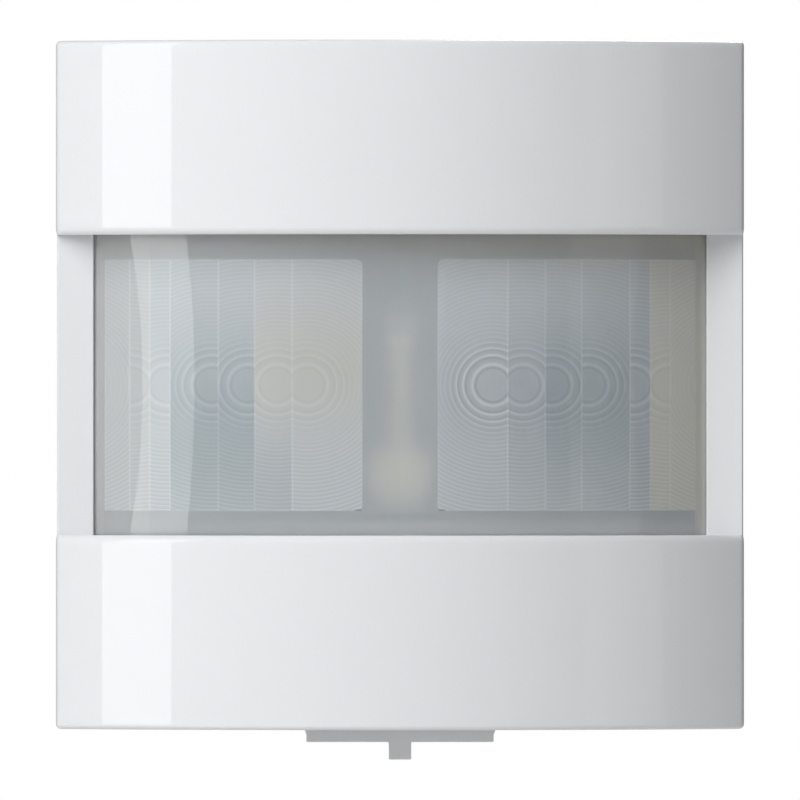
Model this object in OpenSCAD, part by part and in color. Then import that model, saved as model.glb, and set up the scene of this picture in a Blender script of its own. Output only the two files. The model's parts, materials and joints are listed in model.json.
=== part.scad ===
// Plug-on motion detector for a wall frame, as an assembly.
// X runs to the right, the front faces -Y and +Z is up. The origin is the centre of the cover's rear rim.

/* [Cover] */
// Width and height of the square front cover
face_size = 55; // [52:0.5:70]
// Depth of the flat sides, from the rear rim to the curved front's side edges
side_depth = 8; // [7:0.5:12]
// How far the middle of the curved front stands ahead of its side edges
bulge = 10; // [7:0.5:12]
// Wall of the cover
cover_wall = 1.8; // [1.5:0.05:2.2]
// Rounding of the long edges of the two curved bands
edge_r = 0.6; // [0.3:0.1:0.8]
// Rounding of the corners of the square outline
corner_r = 0.8; // [0.4:0.1:1.5]
// How far the sides are set in beside the window
side_inset = 0.1; // [0.1:0.1:0.6]

/* [Window and lens] */
// Height of the window between the two bands
window_h = 24; // [20:0.5:29]
// Width of each flat cheek beside the lens
cheek_w = 2.95; // [2.9:0.05:4]
// Wall of the cheeks
cheek_t = 1; // [0.8:0.1:1.5]
// Thickness of the ledges above and below the window
ledge_t = 1.2; // [0.8:0.1:2]
// How far the lens sits behind the curved front
lens_recess = 3; // [2:0.1:4]
// Wall of the lens
lens_t = 1; // [0.6:0.1:1.4]
// How far the lens reaches behind the window's upper and lower edge
lens_tuck = 0.8; // [0.5:0.05:1]
// Width of the plain strip in the middle of the lens
strip_w = 6.1; // [5.5:0.1:8]

/* [Lock slider] */
// Width of the slider's plate
slider_w = 15; // [10:0.5:18]
// Thickness of the slider
slider_t = 1.2; // [0.8:0.1:1.6]
// How far the plate stands out under the cover
plate_out = 1.1; // [0.5:0.1:1.5]
// How far the tongue stands out under the cover, which is also the travel
tongue_out = 2.5; // [1.8:0.1:3]
// Width of the tongue
tongue_w = 1.8; // [1.2:0.1:3]
// Distance from the rear rim forward to the back of the slider
slider_back = 2.2; // [2:0.1:3]

/* [Rear housing] */
// Depth of the housing behind the rear rim
housing_depth = 7; // [6:0.5:9]
// Wall of the housing
housing_wall = 1.5; // [1.2:0.1:2]
// Thickness of the housing's floor
floor_t = 1.6; // [1.2:0.1:2]
// Room left beside the housing for each leaf spring
spring_room = 3.1; // [3:0.1:4]
// Radius of the two locating pegs
peg_r = 1.5; // [1:0.1:2]
// Length of the pegs' round part behind the floor
peg_l = 4; // [3:0.5:6]

/* [Electronics] */
// Thickness of the circuit board
board_t = 1.6; // [1:0.1:2]
// Distance from the rear rim back to the front of the board
board_front = 1.2; // [1:0.1:1.6]
// Angle by which each detector can is turned outwards
can_tilt = 35; // [20:1:40]
// Distance from the middle to the centre of each detector can
can_x = 9.5; // [9:0.1:11]
// Radius of a detector can's cap
can_r = 4.1; // [3.5:0.1:4.3]
// Height of a detector can
can_h = 4.2; // [3.5:0.1:5]
// Pitch of the plug's pins
pin_pitch = 2.54; // [2:0.01:2.54]
// Length of the plug's pins behind the rear rim
pin_reach = 11.8; // [10:0.1:14]
// Distance between neighbouring setting dials
dial_pitch = 12; // [9:0.5:13]
// Radius of a dial's rotor
rotor_r = 2; // [1.5:0.1:2.2]

/* [Fits] */
// Gap between fixed pieces that are fitted together
fit_gap = 0.06; // [0.04:0.01:0.1]
// Gap around the slider
slide_gap = 0.12; // [0.08:0.01:0.2]
// Radial gap of a rotor in its body
turn_gap = 0.05; // [0.03:0.01:0.08]
// Gap of the pieces that are put in from behind
entry_gap = 0.2; // [0.15:0.05:0.3]

/* [Hidden] */
$fn = 96;
half = face_size / 2;
inner_half = half - cover_wall;
front_y = -(side_depth + bulge);
front_r = (half * half + bulge * bulge) / (2 * bulge);
arc_y = front_y + front_r;
lens_r = front_r - lens_recess;
lens_half_w = half - cheek_w;
lens_edge_y = arc_y - sqrt(lens_r * lens_r - lens_half_w * lens_half_w);
cheek_back = lens_edge_y - fit_gap;
cheek_front = cheek_back - cheek_t;
window_half = window_h / 2;
lens_end = inner_half - 0.35;
past = 1;
frame_t = 1.4;
frame_r = lens_r - lens_t - fit_gap;
frame_in = 1.1;
frame_out = 1.4;
stake_x = 16;
stake_z = window_half + 3.2;
stake_r = 0.8;
ear_w = 4;
ear_t = 1;
ear_y = arc_y - sqrt(pow(frame_r - frame_t / 2, 2) - stake_x * stake_x);
flange_half = inner_half - entry_gap;
flange_back = -0.2;
flange_front = -1.6;
box_half_x = inner_half - spring_room;
box_half_z = inner_half - 2.2;
floor_front = housing_depth - floor_t;
room_half_x = box_half_x - housing_wall;
room_half_z = box_half_z - housing_wall;
board_half_x = room_half_x - entry_gap;
board_half_z = room_half_z - entry_gap;
board_back = board_front + board_t;
snap_x = 15;
snap_w = 5;
snap_t = 1;
hook_y = -4.4;
hook_l = 1;
catch_h = 0.8;
catch_w = 0.8;
snap_z = inner_half - catch_h - 0.3 - snap_t;
slider_front = -slider_back - slider_t;
head_w = slider_w + 2;
head_low = -inner_half + fit_gap;
head_top = head_low + 6.6;
guide_l = 8;
guide_w = 1;
guide_lip = 1.2;
screw_x = 18;
screw_r = 1;
pilot_r = 0.9;
boss_r = 2.2;
head_r = 1.8;
base_half_x = 15.5;
base_half_z = 10;
base_back = board_front - 0.02;
base_front = base_back - 1.4;
can_flange_r = can_r + 0.45;
can_y = base_front - can_flange_r * sin(can_tilt) - 0.1;
can_flange_t = 0.4;
can_skin = 0.3;
can_floor = 0.9;
filter_t = 0.4;
lead_r = 0.225;
lead_circle = 2.54;
tower_r = can_flange_r + 0.45;
channel_half = strip_w / 2 + 0.75;
channel_wall = 0.8;
channel_half_z = base_half_z + 0.4;
channel_front = front_y + lens_recess + lens_t + 1.4;
guide_low_z = -7.2;
guide_low_r = 2.6;
guide_high_z = 4.4;
guide_high_r = 1.5;
guide_stem = 1.6;
guide_t = 1.3;
leg_low_r = 1.4;
leg_high_r = 1;
lamp_h = 0.7;
leg_end = board_front - lamp_h - 0.2;
staple_r = 0.9;
staple_x = 13.5;
staple_z = 8;
plug_z = -15;
pin_side = 0.64;
pin_count = 5;
plug_half_x = pin_count * pin_pitch / 2 + 0.3;
plug_half_z = pin_pitch + 0.1;
plug_back = 8.4;
dial_z = 14;
dial_body = 6.6;
dial_front = board_back;
dial_back = floor_front - 0.4;
rotor_front = dial_front + 0.7;
rotor_back = housing_depth - 0.5;
access_r = rotor_r + 0.5;
// shallow scale marks round each access hole, and a blank label field
tick_t = 0.2;
tick_w = 0.3;
label_w = 20;
label_h = 8;
label_z = -1;
peg_x = 16;
peg_z = 17.5;
spring_h = 12;
spring_t = 0.5;
spring_roll_r = 0.35;
spring_foot = box_half_x + 0.4;
spring_bulge = flange_half - 0.75;

// A box between two opposite corners
module block(low, high) translate(low) cube(high - low);

// A round bar along Y between two depths
module bar(x, z, r, y_low, y_high) {
    translate([x, y_high, z]) rotate([90, 0, 0]) cylinder(r = r, h = y_high - y_low);
}

// Its children once on each side, mirrored left to right
module both_sides() for (side = [0, 1]) mirror([side, 0, 0]) children();

// Its children once above and once below the middle
module top_and_bottom() for (side = [0, 1]) mirror([0, 0, side]) children();

// A ring about the front's vertical axis, from the middle of the height up and down
module arc_ring(r_in, r_out, z_half) {
    translate([0, arc_y, 0]) difference() {
        cylinder(r = r_out, h = 2 * z_half, center = true);
        cylinder(r = r_in, h = 2 * z_half + past, center = true);
    }
}

// ---- cover ----

// The square outline with round corners, run from front to back
module square_prism() {
    flat = half - corner_r;
    block([-half, front_y - past, -flat], [half, 0, flat]);
    block([-flat, front_y - past, -half], [flat, 0, half]);
    both_sides() top_and_bottom() bar(flat, flat, corner_r, front_y - past, 0);
}

// Everything behind the curved front, with round upper and lower edges
module curved_front() {
    flat = half - edge_r;
    translate([0, arc_y, 0]) rotate_extrude() {
        translate([0, -flat]) square([front_r, 2 * flat]);
        translate([0, -half]) square([front_r - edge_r, 2 * half]);
        for (side = [-1, 1]) translate([front_r - edge_r, side * flat]) intersection() {
            circle(r = edge_r);
            translate([-edge_r, -edge_r]) square(2 * edge_r);
        }
    }
}

// The window, the step down to the cheeks, and the round edges of the bands along it
module window_cut() {
    block([-lens_half_w, front_y - past, -window_half], [lens_half_w, cheek_front + 2.5, window_half]);
    block([-half - past, front_y - past, -window_half], [half + past, cheek_front, window_half]);
    top_and_bottom() translate([0, arc_y, 0]) rotate_extrude() difference() {
        translate([front_r - edge_r, window_half - past]) square([edge_r + past, edge_r + past]);
        translate([front_r - edge_r, window_half + edge_r]) circle(r = edge_r);
    }
    both_sides() block([half - side_inset, front_y, -window_half], [half + past, -2, window_half]);
}

// The hollow, less the ledges and cheeks that stand in it
module cover_hollow() difference() {
    intersection() {
        block([-inner_half, front_y, -inner_half], [inner_half, past, inner_half]);
        translate([0, arc_y, 0]) cylinder(r = front_r - cover_wall, h = face_size, center = true);
    }
    top_and_bottom() translate([0, 0, window_half + ledge_t / 2])
        arc_ring(lens_r + fit_gap, front_r + past, ledge_t / 2);
    both_sides() block(
        [lens_half_w, front_y, -window_half - ledge_t],
        [half, cheek_back, window_half + ledge_t]
    );
}

module front_cover() color("white") {
    difference() {
        intersection() {
            square_prism();
            curved_front();
        }
        window_cut();
        cover_hollow();
        block(
            [-slider_w / 2 - slide_gap, slider_front - slide_gap, -half - past],
            [slider_w / 2 + slide_gap, -slider_back + slide_gap, -inner_half + past]
        );
    }
    top_and_bottom() both_sides() {
        bar(stake_x, stake_z, stake_r, arc_y - sqrt(pow(front_r - 1, 2) - stake_x * stake_x), ear_y + 1.1);
        block(
            [snap_x - snap_w / 2, hook_y + 0.2, inner_half - catch_h],
            [snap_x + snap_w / 2, hook_y + 0.2 + catch_w, inner_half + 0.5]
        );
    }
}

// ---- lens and its frame ----

module fresnel_lens() color("lightsteelblue") intersection() {
    arc_ring(lens_r - lens_t, lens_r, window_half + lens_tuck);
    block(
        [-lens_end, front_y, -half],
        [lens_end, 0, half]
    );
}

module lens_retainer() color("gainsboro") difference() {
    union() {
        intersection() {
            difference() {
                arc_ring(frame_r - frame_t, frame_r, window_half + frame_out);
                block(
                    [-lens_half_w + 0.5, front_y, -window_half + frame_in],
                    [lens_half_w - 0.5, 0, window_half - frame_in]
                );
            }
            block(
                [-lens_end, front_y, -half],
                [lens_end, 0, half]
            );
        }
        top_and_bottom() both_sides() block(
            [stake_x - ear_w / 2, ear_y - ear_t / 2, window_half + lens_tuck + 0.1],
            [stake_x + ear_w / 2, ear_y + ear_t / 2, stake_z + ear_w / 2]
        );
    }
    top_and_bottom() both_sides()
        bar(stake_x, stake_z, stake_r + fit_gap, ear_y - ear_t, ear_y + ear_t);
}

// ---- light channel in the middle ----

// The keyhole outline that the guide's face and its opening share
module keyhole(grow, y_low, y_high) {
    bar(0, guide_low_z, guide_low_r + grow, y_low, y_high);
    bar(0, guide_high_z, guide_high_r + grow, y_low, y_high);
    block([-guide_stem / 2 - grow, y_low, guide_low_z], [guide_stem / 2 + grow, y_high, guide_high_z]);
}

module light_baffle() color("slategray") {
    difference() {
        block(
            [-channel_half, channel_front, -channel_half_z],
            [channel_half, channel_front + channel_wall, channel_half_z]
        );
        keyhole(fit_gap, channel_front - past, channel_front + past + channel_wall);
    }
    both_sides() block(
        [channel_half - channel_wall, channel_front, -channel_half_z],
        [channel_half, base_front - 0.02, channel_half_z]
    );
}

module light_guide() color("ivory") {
    keyhole(0, channel_front - 0.3, channel_front - 0.3 + guide_t);
    bar(0, guide_low_z, leg_low_r, channel_front, leg_end);
    bar(0, guide_high_z, leg_high_r, channel_front, leg_end);
}

// ---- detectors ----

// Its children in a detector can's own frame, with the can's axis along -Y
module at_can(side) translate([side * can_x, can_y, 0]) rotate([0, 0, side * can_tilt]) children();

module sensor_carrier() color("wheat") {
    difference() {
        union() {
            block([-base_half_x, base_front, -base_half_z], [base_half_x, base_back, base_half_z]);
            for (side = [-1, 1]) intersection() {
                at_can(side) bar(0, 0, tower_r, 0.02, 9);
                block(
                    [min(side * (channel_half + entry_gap), side * base_half_x), can_y - 9, -base_half_z],
                    [max(side * (channel_half + entry_gap), side * base_half_x), base_back, base_half_z]
                );
            }
        }
        for (side = [-1, 1]) at_can(side) bar(0, 0, lead_circle + 0.6, -past, 9);
        bar(0, guide_low_z, leg_low_r + entry_gap, base_front - past, base_back + past);
        bar(0, guide_high_z, leg_high_r + entry_gap, base_front - past, base_back + past);
    }
    for (side = [-1, 1]) bar(side * staple_x, side * staple_z, staple_r, base_front, board_back + 0.3);
}

module pir_can(side) color("silver") at_can(side) difference() {
    union() {
        bar(0, 0, can_flange_r, -can_flange_t, 0);
        bar(0, 0, can_r, -can_h, -can_flange_t / 2);
    }
    bar(0, 0, can_r - can_skin, -can_h + can_skin, -can_floor);
    block([-2.3, -can_h - past, -1.8], [2.3, -can_h + past, 1.8]);
}

module pir_filter(side) color("dimgray") at_can(side) block(
    [-2.7, -can_h + can_skin + 0.02, -2.2],
    [2.7, -can_h + can_skin + 0.02 + filter_t, 2.2]
);

module pir_element(side) color("lightyellow") at_can(side) {
    block([-2.5, -can_floor - 0.6, -1.7], [2.5, -can_floor - 0.02, 1.7]);
    for (x = [-1, 1]) block([x - 0.5, -can_floor - 0.8, -1], [x + 0.5, -can_floor - 0.5, 1]);
}

module pir_leads() color("gold") for (side = [-1, 1]) intersection() {
    at_can(side) for (turn = [45, 135, 270])
        bar(lead_circle * cos(turn), lead_circle * sin(turn), lead_r, 0, 9);
    block([-base_half_x, can_y - 9, -base_half_z], [base_half_x, base_back, base_half_z]);
}

// ---- board and what it carries ----

module main_board() color("darkgreen") difference() {
    block([-board_half_x, board_front, -board_half_z], [board_half_x, board_back, board_half_z]);
    for (side = [-1, 1]) {
        bar(side * screw_x, 0, screw_r + 0.15, board_front - past, board_back + past);
        bar(side * staple_x, side * staple_z, staple_r + 0.1, board_front - past, board_back + past);
    }
    for (p = pin_places()) bar(p[0], p[1], 0.5, board_front - past, board_back + past);
}

// The places of the plug's pins, as X and Z
function pin_places() = [
    for (row = [-0.5, 0.5]) for (i = [0:pin_count - 1])
        [(i - (pin_count - 1) / 2) * pin_pitch, plug_z + row * pin_pitch]
];

// A chip's body at the middle of the board
module chip_body(size, height) block(
    [-size[0] / 2, board_front - 0.1 - height, -size[1] / 2],
    [size[0] / 2, board_front - 0.1, size[1] / 2]
);

// Rows of leads along the upper and lower side of a chip that is deep in Z
module chip_leads(deep, leads, pitch) for (i = [0:leads - 1]) translate([(i - (leads - 1) / 2) * pitch, 0, 0])
    block([-pitch / 5, board_front - 0.35, -deep / 2 - 0.9], [pitch / 5, board_front - 0.02, deep / 2 + 0.9]);

module microcontroller() color("#26282b") translate([-11, 0, 15.4]) {
    chip_body([7, 7], 1.2);
    for (turn = [0, 90]) rotate([0, turn, 0]) chip_leads(7, 8, 0.8);
}

module amplifier_chip() color("#2c2e31") translate([8, 0, 15.4]) {
    chip_body([8.6, 3.9], 1.5);
    chip_leads(3.9, 7, 1.27);
}

module crystal() color("silver") {
    for (side = [-1, 1]) bar(-1.8, 16 + side * 3, 2.2, board_front - 3.5, board_front - 0.4);
    block([-4, board_front - 3.5, 13], [0.4, board_front - 0.4, 19]);
    block([-4.3, board_front - 0.5, 10.6], [0.7, board_front - 0.02, 21.4]);
}

module capacitors() color("#3c4a63") for (side = [-1, 1]) {
    bar(side * 14, -16, 2, board_front - 5.4, board_front - 0.5);
    block([side * 14 - 2.2, board_front - 0.8, -18.2], [side * 14 + 2.2, board_front - 0.02, -13.8]);
}

module chip_components() color("#b79f7a") {
    for (x = [-9, -5.4, -1.8, 1.8, 5.4, 9]) block(
        [x - 1, board_front - 0.65, -12.2],
        [x + 1, board_front - 0.02, -11]
    );
    for (side = [-1, 1]) for (z = [6, 8.6, 11.2, 13.8, 16.4]) block(
        [side * 18.6 - 0.6, board_front - 0.65, z - 1],
        [side * 18.6 + 0.6, board_front - 0.02, z + 1]
    );
}

module status_led() color("orangered")
    block([-0.8, board_front - lamp_h, guide_low_z - 0.8], [0.8, board_front - 0.02, guide_low_z + 0.8]);

module light_sensor() color("#202830")
    block([-0.8, board_front - lamp_h, guide_high_z - 0.8], [0.8, board_front - 0.02, guide_high_z + 0.8]);

module board_screws() color("silver") for (side = [-1, 1]) difference() {
    union() {
        bar(side * screw_x, 0, head_r, board_front - 1.2, board_front - 0.01);
        bar(side * screw_x, 0, screw_r, board_front - 0.5, floor_front - 0.5);
    }
    for (turn = [0, 90]) translate([side * screw_x, 0, 0]) rotate([0, turn, 0])
        block([-1.1, board_front - 2, -0.2], [1.1, board_front - 0.6, 0.2]);
}

module header_body() color("#1f2124") difference() {
    block(
        [-plug_half_x, board_back + 0.02, plug_z - plug_half_z],
        [plug_half_x, plug_back, plug_z + plug_half_z]
    );
    for (p = pin_places()) translate([p[0], 0, p[1]]) block(
        [-pin_side / 2 - 0.03, 0, -pin_side / 2 - 0.03],
        [pin_side / 2 + 0.03, plug_back + past, pin_side / 2 + 0.03]
    );
}

module header_pins() color("gold") for (p = pin_places()) translate([p[0], 0, p[1]])
    block([-pin_side / 2, board_front - 0.9, -pin_side / 2], [pin_side / 2, pin_reach, pin_side / 2]);

// ---- setting dials ----

module pot_body(place) color("royalblue") difference() {
    x = place * dial_pitch;
    block(
        [x - dial_body / 2, dial_front + 0.02, dial_z - dial_body / 2],
        [x + dial_body / 2, dial_back, dial_z + dial_body / 2]
    );
    bar(x, dial_z, rotor_r + turn_gap, rotor_front - 0.1, dial_back + past);
}

module pot_rotor(place) color("whitesmoke") difference() {
    x = place * dial_pitch;
    bar(x, dial_z, rotor_r, rotor_front, rotor_back);
    block([x - 0.35, rotor_back - 0.8, dial_z - rotor_r - past], [x + 0.35, rotor_back + past, dial_z + 0.9]);
    block([x - 1.1, rotor_back - 0.8, dial_z - 0.35], [x + 1.1, rotor_back + past, dial_z + 0.35]);
}

// ---- rear housing ----

module rear_housing() color("darkgray") {
    difference() {
        union() {
            block([-flange_half, flange_front, -flange_half], [flange_half, flange_back, flange_half]);
            block([-box_half_x, flange_back - 0.5, -box_half_z], [box_half_x, housing_depth, box_half_z]);
        }
        block([-room_half_x, flange_front - past, -room_half_z], [room_half_x, floor_front, room_half_z]);
        for (place = [-1:1]) {
            bar(place * dial_pitch, dial_z, access_r, floor_front - past, housing_depth + past);
            for (turn = [-135:45:135]) translate([place * dial_pitch, 0, dial_z]) rotate([0, turn, 0])
                block(
                    [-tick_w / 2, housing_depth - tick_t, access_r + 0.35],
                    [tick_w / 2, housing_depth + past, access_r + 0.95]
                );
        }
        block(
            [-label_w / 2, housing_depth - tick_t, label_z - label_h / 2],
            [label_w / 2, housing_depth + past, label_z + label_h / 2]
        );
        block(
            [-plug_half_x - entry_gap, floor_front - past, plug_z - plug_half_z - entry_gap],
            [plug_half_x + entry_gap, housing_depth + past, plug_z + plug_half_z + entry_gap]
        );
    }
    for (side = [-1, 1]) difference() {
        bar(side * screw_x, 0, boss_r, board_back + 0.02, floor_front + 0.2);
        bar(side * screw_x, 0, pilot_r, board_back - past, floor_front - 0.3);
    }
    both_sides() top_and_bottom() block(
        [room_half_x - 3, board_back + 0.02, room_half_z - 3],
        [room_half_x + 0.2, floor_front + 0.2, room_half_z + 0.2]
    );
    for (side = [-1, 1]) {
        bar(side * peg_x, side * peg_z, peg_r, housing_depth - 0.5, housing_depth + peg_l);
        translate([side * peg_x, housing_depth + peg_l, side * peg_z]) rotate([-90, 0, 0])
            cylinder(r1 = peg_r, r2 = peg_r - 0.4, h = 0.4);
    }
    top_and_bottom() both_sides() {
        block(
            [snap_x - snap_w / 2, hook_y - hook_l, snap_z],
            [snap_x + snap_w / 2, flange_back - 0.4, snap_z + snap_t]
        );
        block(
            [snap_x - snap_w / 2, hook_y - hook_l, snap_z + 0.2],
            [snap_x + snap_w / 2, hook_y, inner_half - 0.3]
        );
    }
    both_sides() {
        guide_x = head_w / 2 + slide_gap;
        guide_z = -flange_half + entry_gap;
        block(
            [guide_x, slider_front - 0.8, guide_z],
            [guide_x + guide_w, flange_front + 0.3, guide_z + guide_l]
        );
        block(
            [guide_x - guide_lip, slider_front - 0.8, guide_z],
            [guide_x + guide_w, slider_front - slide_gap, guide_z + guide_l]
        );
        block([4, -slider_back + slide_gap, -flange_half + 0.5], [6, flange_front + 0.3, -room_half_z - 0.5]);
    }
}

// ---- moving pieces ----

module lock_slider() color("darkgray") {
    block([-slider_w / 2, slider_front, -half - plate_out], [slider_w / 2, -slider_back, head_low + 0.5]);
    block([-tongue_w / 2, slider_front, -half - tongue_out], [tongue_w / 2, -slider_back, -half]);
    block([-head_w / 2, slider_front, head_low], [head_w / 2, -slider_back, head_top]);
}

module retaining_spring() color("silver") {
    path = [
        [spring_foot, flange_back + 0.5],
        [spring_bulge, housing_depth * 0.46],
        [spring_foot + 0.55, housing_depth - 0.7]
    ];
    translate([0, 0, -spring_h / 2]) {
        translate(path[0]) cylinder(r = spring_roll_r, h = spring_h);
        linear_extrude(height = spring_h) polygon(concat(
            [for (p = path) p - [spring_t / 2, 0]],
            [for (i = [2:-1:0]) path[i] + [spring_t / 2, 0]]
        ));
    }
}

front_cover();
fresnel_lens();
lens_retainer();
light_baffle();
light_guide();
sensor_carrier();
pir_can(-1);  // pir_can_left
pir_can(1);  // pir_can_right
pir_filter(-1);  // pir_filter_left
pir_filter(1);  // pir_filter_right
pir_element(-1);  // pir_element_left
pir_element(1);  // pir_element_right
pir_leads();
status_led();
light_sensor();
main_board();
microcontroller();
amplifier_chip();
crystal();
capacitors();
chip_components();
board_screws();
header_body();
header_pins();
rear_housing();
pot_body(-1);  // time_pot_body
pot_body(0);  // light_pot_body
pot_body(1);  // range_pot_body
pot_rotor(-1);  // time_pot_rotor
pot_rotor(0);  // light_pot_rotor
pot_rotor(1);  // range_pot_rotor
lock_slider();
mirror([1, 0, 0]) retaining_spring();  // retaining_spring_left
retaining_spring();  // retaining_spring_right
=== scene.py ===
import json
import math
import bmesh
import bpy
import numpy as np
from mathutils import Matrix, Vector
from mathutils.geometry import delaunay_2d_cdt


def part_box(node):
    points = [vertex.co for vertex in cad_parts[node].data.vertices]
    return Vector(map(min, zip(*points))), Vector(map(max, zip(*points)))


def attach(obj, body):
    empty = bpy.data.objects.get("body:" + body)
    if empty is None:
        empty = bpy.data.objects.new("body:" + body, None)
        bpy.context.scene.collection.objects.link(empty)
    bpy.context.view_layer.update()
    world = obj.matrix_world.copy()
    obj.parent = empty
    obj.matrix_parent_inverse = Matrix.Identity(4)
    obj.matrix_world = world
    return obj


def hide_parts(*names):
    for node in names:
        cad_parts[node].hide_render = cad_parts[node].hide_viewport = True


# Motion sensor. Sizes and places below are in millimetres; mm turns them into the frame's metres.
# +X is to the right, -Y to the front and +Z up, as in the frame.

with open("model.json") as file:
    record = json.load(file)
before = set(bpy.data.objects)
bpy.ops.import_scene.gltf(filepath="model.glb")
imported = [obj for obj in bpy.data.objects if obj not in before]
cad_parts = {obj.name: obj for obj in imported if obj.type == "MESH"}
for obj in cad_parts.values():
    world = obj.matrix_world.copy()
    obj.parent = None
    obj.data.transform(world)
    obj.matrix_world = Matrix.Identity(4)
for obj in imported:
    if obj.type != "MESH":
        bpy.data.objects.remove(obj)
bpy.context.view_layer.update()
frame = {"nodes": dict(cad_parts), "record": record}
nodes = frame["nodes"]
mm = 0.001
lensTuck = 0.8           # how far the lens reaches behind the window's upper and lower edges
print("stage: frame loaded, nodes:", len(nodes))


def boxOf(node):
    # lowest and highest corner of a node, in millimetres
    low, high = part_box(node)
    return np.array(low) / mm, np.array(high) / mm


coverLow, coverHigh = boxOf("front_cover")
lensLow, lensHigh = boxOf("fresnel_lens")
half = coverHigh[0]                     # half of the cover's width
frontY = coverLow[1]                    # the middle of the curved front
windowHalf = lensHigh[2] - lensTuck     # half of the window's height


viewing = {"lens": 1400.0, "sensor": 36.0, "widthShown": 63.95, "faceY": -8.0, "height": -1.2}


def placeCamera(v):
    # distance = width shown * lens / sensor, in front of the plane of the cover's outline
    data = bpy.data.cameras.new("camera")
    data.lens = v["lens"]
    data.sensor_width = v["sensor"]
    camera = bpy.data.objects.new("camera", data)
    bpy.context.collection.objects.link(camera)
    distance = v["widthShown"] * v["lens"] / v["sensor"]
    camera.location = (0, (v["faceY"] - distance) * mm, v["height"] * mm)
    camera.rotation_euler = (math.radians(90), 0, 0)
    bpy.context.scene.camera = camera


# softboxes: angles in degrees round the object, distance and size in metres, power in watts
lamps = {
    "key": {
        "azimuth": -28, "elevation": 36, "distance": 0.8,
        "size": (0.27, 0.76), "power": 5.4, "gloss": False,
    },
    "strip": {
        "azimuth": -59.4, "elevation": 0, "distance": 0.8,
        "size": (0.24, 1.3), "power": 2.1, "gloss": True,
    },
    "card": {
        "azimuth": 50, "elevation": 0, "distance": 0.8,
        "size": (0.26, 0.3), "power": 0.11, "gloss": True,
    },
    "rear": {
        "azimuth": 158, "elevation": 42, "distance": 1.0,
        "size": (0.5, 0.5), "power": 7.0, "gloss": True,
    },
}


def placeLamp(name, v):
    # place = distance * (sin az * cos el, -cos az * cos el, sin el), turned to face the middle
    data = bpy.data.lights.new(name, "AREA")
    data.shape = "RECTANGLE"
    data.size, data.size_y = v["size"]
    data.energy = v["power"]
    lamp = bpy.data.objects.new(name, data)
    bpy.context.collection.objects.link(lamp)
    az, el = math.radians(v["azimuth"]), math.radians(v["elevation"])
    away = Vector((math.sin(az) * math.cos(el), -math.cos(az) * math.cos(el), math.sin(el)))
    lamp.location = away * v["distance"]
    lamp.rotation_euler = away.to_track_quat("Z", "Y").to_euler()
    lamp.visible_glossy = v["gloss"]


placeCamera(viewing)
for lampName, lampValues in lamps.items():
    placeLamp(lampName, lampValues)
bpy.context.scene.view_settings.view_transform = "Standard"
print("stage: camera and lights placed")


class Wire:
    # one socket of a node tree; operators on it add Math nodes
    def __init__(self, tree, socket):
        self.tree, self.socket = tree, socket

    def math(self, operation, *others, swap=False):
        # operation(this, others), or with swap the other way round
        inputs = [self, *others]
        if swap:
            inputs.reverse()
        return Paint.add(self.tree, "ShaderNodeMath", {"operation": operation}, inputs)

    def __add__(self, other): return self.math("ADD", other)
    def __radd__(self, other): return self.math("ADD", other)
    def __sub__(self, other): return self.math("SUBTRACT", other)
    def __rsub__(self, other): return self.math("SUBTRACT", other, swap=True)
    def __mul__(self, other): return self.math("MULTIPLY", other)
    def __rmul__(self, other): return self.math("MULTIPLY", other)
    def __truediv__(self, other): return self.math("DIVIDE", other)
    def __rtruediv__(self, other): return self.math("DIVIDE", other, swap=True)
    def __pow__(self, other): return self.math("POWER", other)
    def __gt__(self, other): return self.math("GREATER_THAN", other)
    def __lt__(self, other): return self.math("LESS_THAN", other)
    def __abs__(self): return self.math("ABSOLUTE")


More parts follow.
